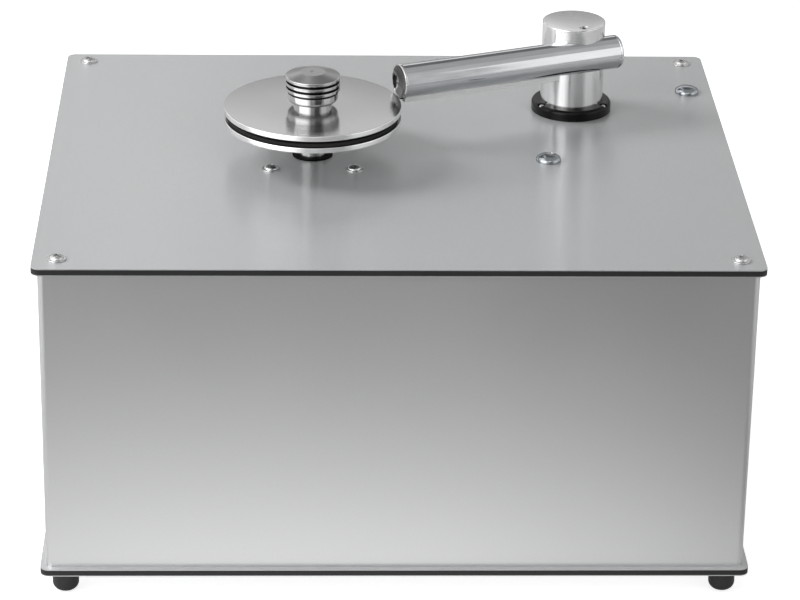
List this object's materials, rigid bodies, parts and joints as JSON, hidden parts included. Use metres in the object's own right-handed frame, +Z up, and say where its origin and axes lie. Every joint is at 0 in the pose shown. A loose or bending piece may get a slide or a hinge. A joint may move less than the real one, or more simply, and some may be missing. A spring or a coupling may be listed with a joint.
{
  "type": "record cleaning machine",
  "caption": "Box-shaped record cleaning machine: small turning platter with a label clamp and knob, hollow suction arm on a pillar, and waste tank and vacuum unit in a sheet metal case.",
  "frame": {"origin": "centre of the machine's footprint, on the ground under the feet", "axes": "+X to the machine's right, +Y to its rear, +Z up; the plain front faces -Y"},
  "size_m": [0.385, 0.325, 0.2497],
  "materials": {
    "plate_skin": "satin, fine grain",
    "plate_core": "matt",
    "body_sheet": "satin metallic, fine speckle",
    "post_metal": "sawn",
    "screw_steel": "bright",
    "bolt_zinc": "zinc plated",
    "foot_rubber": "matt",
    "bush_plastic": "matt",
    "turned_metal": "turned, bright",
    "arm_metal": "polished",
    "plug_metal": "polished",
    "spindle_steel": "bright",
    "mat_rubber": "matt",
    "strip_felt": "pale felt",
    "ring_plastic": "satin black",
    "washer_plastic": "matt",
    "black_steel": "blackened",
    "gear_case": "painted",
    "motor_case": "plated",
    "housing_plastic": "matt",
    "tank_plastic": "milky",
    "hose_rubber": "matt",
    "fan_plastic": "satin",
    "switch_plastic": "satin",
    "inlet_plastic": "matt",
    "pin_metal": "nickel plated",
    "board_laminate": "satin",
    "can_metal": "satin"
  },
  "bodies": {
    "case": {"top_plate_skins": "plate_skin", "top_plate_core": "plate_core", "body_shell": "body_sheet", "rear_panel": "body_sheet", "bottom_plate_skins": "plate_skin", "bottom_plate_core": "plate_core", "corner_posts": "post_metal", "plate_screws": "screw_steel", "feet": "foot_rubber", "foot_studs": "screw_steel", "panel_screws": "screw_steel", "spindle_bush": "bush_plastic", "gearbox": "gear_case", "gear_motor": "motor_case", "motor_spacers": "washer_plastic", "flange_ring": "ring_plastic", "flange_screws": "screw_steel", "arm_socket": "housing_plastic", "neck_seal": "hose_rubber", "tank_lid": "tank_plastic", "waste_tank": "tank_plastic", "tank_bolts": "bolt_zinc", "tank_spacers": "post_metal", "tank_nuts": "bolt_zinc", "suction_hose": "hose_rubber", "fan_housing": "housing_plastic", "vacuum_motor": "motor_case", "motor_mount": "mat_rubber", "exhaust_duct": "housing_plastic", "drain_hose": "hose_rubber", "drain_cup": "housing_plastic", "mains_inlet": "inlet_plastic", "inlet_pins": "pin_metal", "switch_frames": "switch_plastic", "control_board": "board_laminate", "board_standoffs": "screw_steel", "run_capacitor": "can_metal"},
    "platter": {"platter_hub": "turned_metal", "platter_disc": "turned_metal", "platter_mat": "mat_rubber", "spindle": "spindle_steel", "hub_set_screw": "black_steel", "motor_shaft": "spindle_steel"},
    "clamp": {"clamp_seal": "mat_rubber", "clamp_disc": "turned_metal", "clamp_knob": "turned_metal"},
    "arm_swivel": {"slide_washer": "washer_plastic"},
    "arm": {"arm_pillar": "arm_metal", "arm_tube": "arm_metal", "tip_plug": "plug_metal", "tail_cap": "arm_metal", "arm_strips": "strip_felt", "arm_set_screw": "screw_steel", "stem_clip": "black_steel"},
    "fan": {"vacuum_fan": "fan_plastic"},
    "drain_plug": {"drain_cap": "mat_rubber"},
    "fuse_tray": {"fuse_drawer": "inlet_plastic"},
    "mains_key": {"mains_rocker": "switch_plastic"},
    "rotation_key": {"rotation_rocker": "switch_plastic"},
    "vacuum_key": {"vacuum_rocker": "switch_plastic"}
  },
  "joints": [
    {"name": "platter_spin", "type": "hinge", "parent": "case", "child": "platter", "pos_m": [-0.045, 0, 0.2156], "axis": [0, 0, 1], "continuous": true},
    {"name": "clamp_lift", "type": "slide", "parent": "platter", "child": "clamp", "axis": [0, 0, 1], "range_m": [0, 0.018]},
    {"name": "arm_swing", "type": "hinge", "parent": "case", "child": "arm_swivel", "pos_m": [0.1067, 0.0742, 0.1956], "axis": [0, 0, 1], "range_deg": [0, 90]},
    {"name": "arm_lift", "type": "slide", "parent": "arm_swivel", "child": "arm", "axis": [0, 0, 1], "range_m": [0, 0.012]},
    {"name": "fan_spin", "type": "hinge", "parent": "case", "child": "fan", "pos_m": [-0.115, 0.075, 0.09], "axis": [0, 0, 1], "continuous": true},
    {"name": "rotation_switch", "type": "hinge", "parent": "case", "child": "rotation_key", "pos_m": [0.1863, -0.1075, 0.1506], "axis": [0, -1, 0], "range_deg": [-7, 7]},
    {"name": "vacuum_switch", "type": "hinge", "parent": "case", "child": "vacuum_key", "pos_m": [0.1863, -0.0775, 0.1506], "axis": [0, -1, 0], "range_deg": [0, 14]},
    {"name": "mains_switch", "type": "hinge", "parent": "case", "child": "mains_key", "pos_m": [-0.112, 0.1563, 0.054], "axis": [1, 0, 0], "range_deg": [0, 14]},
    {"name": "drain_cap_pull", "type": "slide", "parent": "case", "child": "drain_plug", "axis": [0, 1, 0], "range_m": [0, 0.014]},
    {"name": "fuse_drawer_pull", "type": "slide", "parent": "case", "child": "fuse_tray", "axis": [0, 1, 0], "range_m": [0, 0.014]}
  ]
}
